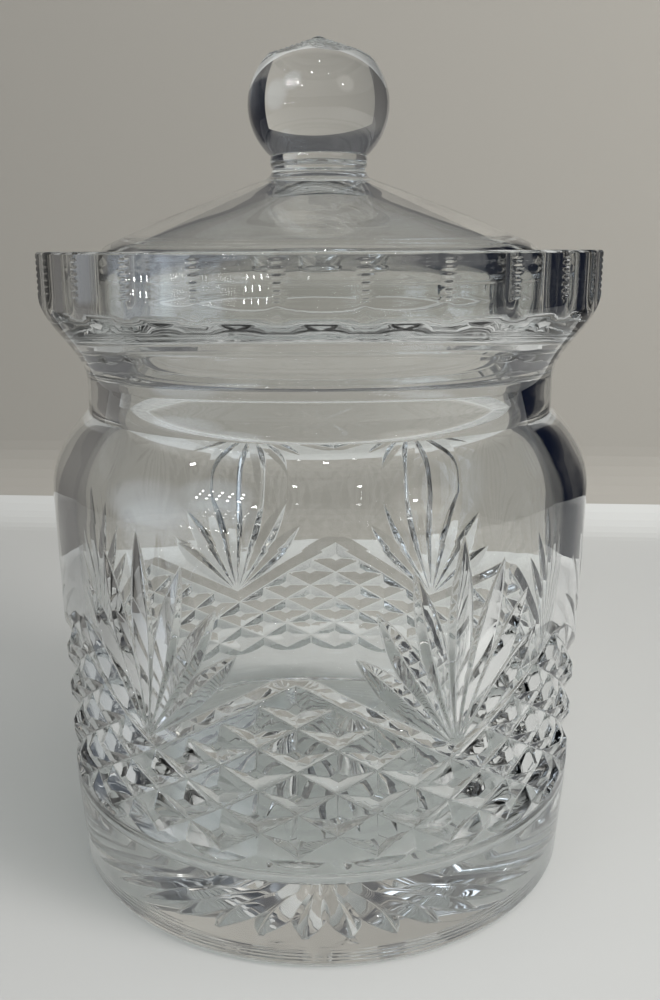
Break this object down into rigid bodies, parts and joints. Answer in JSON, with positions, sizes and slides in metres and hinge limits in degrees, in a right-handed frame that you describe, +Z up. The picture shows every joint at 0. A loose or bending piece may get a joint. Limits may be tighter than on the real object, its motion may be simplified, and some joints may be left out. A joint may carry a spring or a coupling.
{
  "type": "biscuit jar",
  "caption": "Clear cut-glass biscuit jar with a barrel body, a flared scalloped gallery and a lift-off domed lid with a ball knob.",
  "frame": {"origin": "middle of the underside of the foot", "axes": "+Z up along the jar's axis; -Y is the front, where one peak of the cut diamonds faces"},
  "size_m": [0.1384, 0.1388, 0.2081],
  "materials": {
    "jar_glass": "clear lead crystal, polished, cut with diamonds, fans and a star",
    "lid_glass": "clear lead crystal, fire polished, knob cut to facets"
  },
  "bodies": {
    "jar": {"jar_body": "jar_glass", "jar_gallery": "jar_glass"},
    "lid": {"lid_cover": "lid_glass", "lid_collar": "lid_glass", "lid_knob": "lid_glass"}
  },
  "joints": [
    {"name": "lid_lift", "type": "slide", "parent": "jar", "child": "lid", "axis": [0, 0, 1], "range_m": [0, 0.06]}
  ]
}
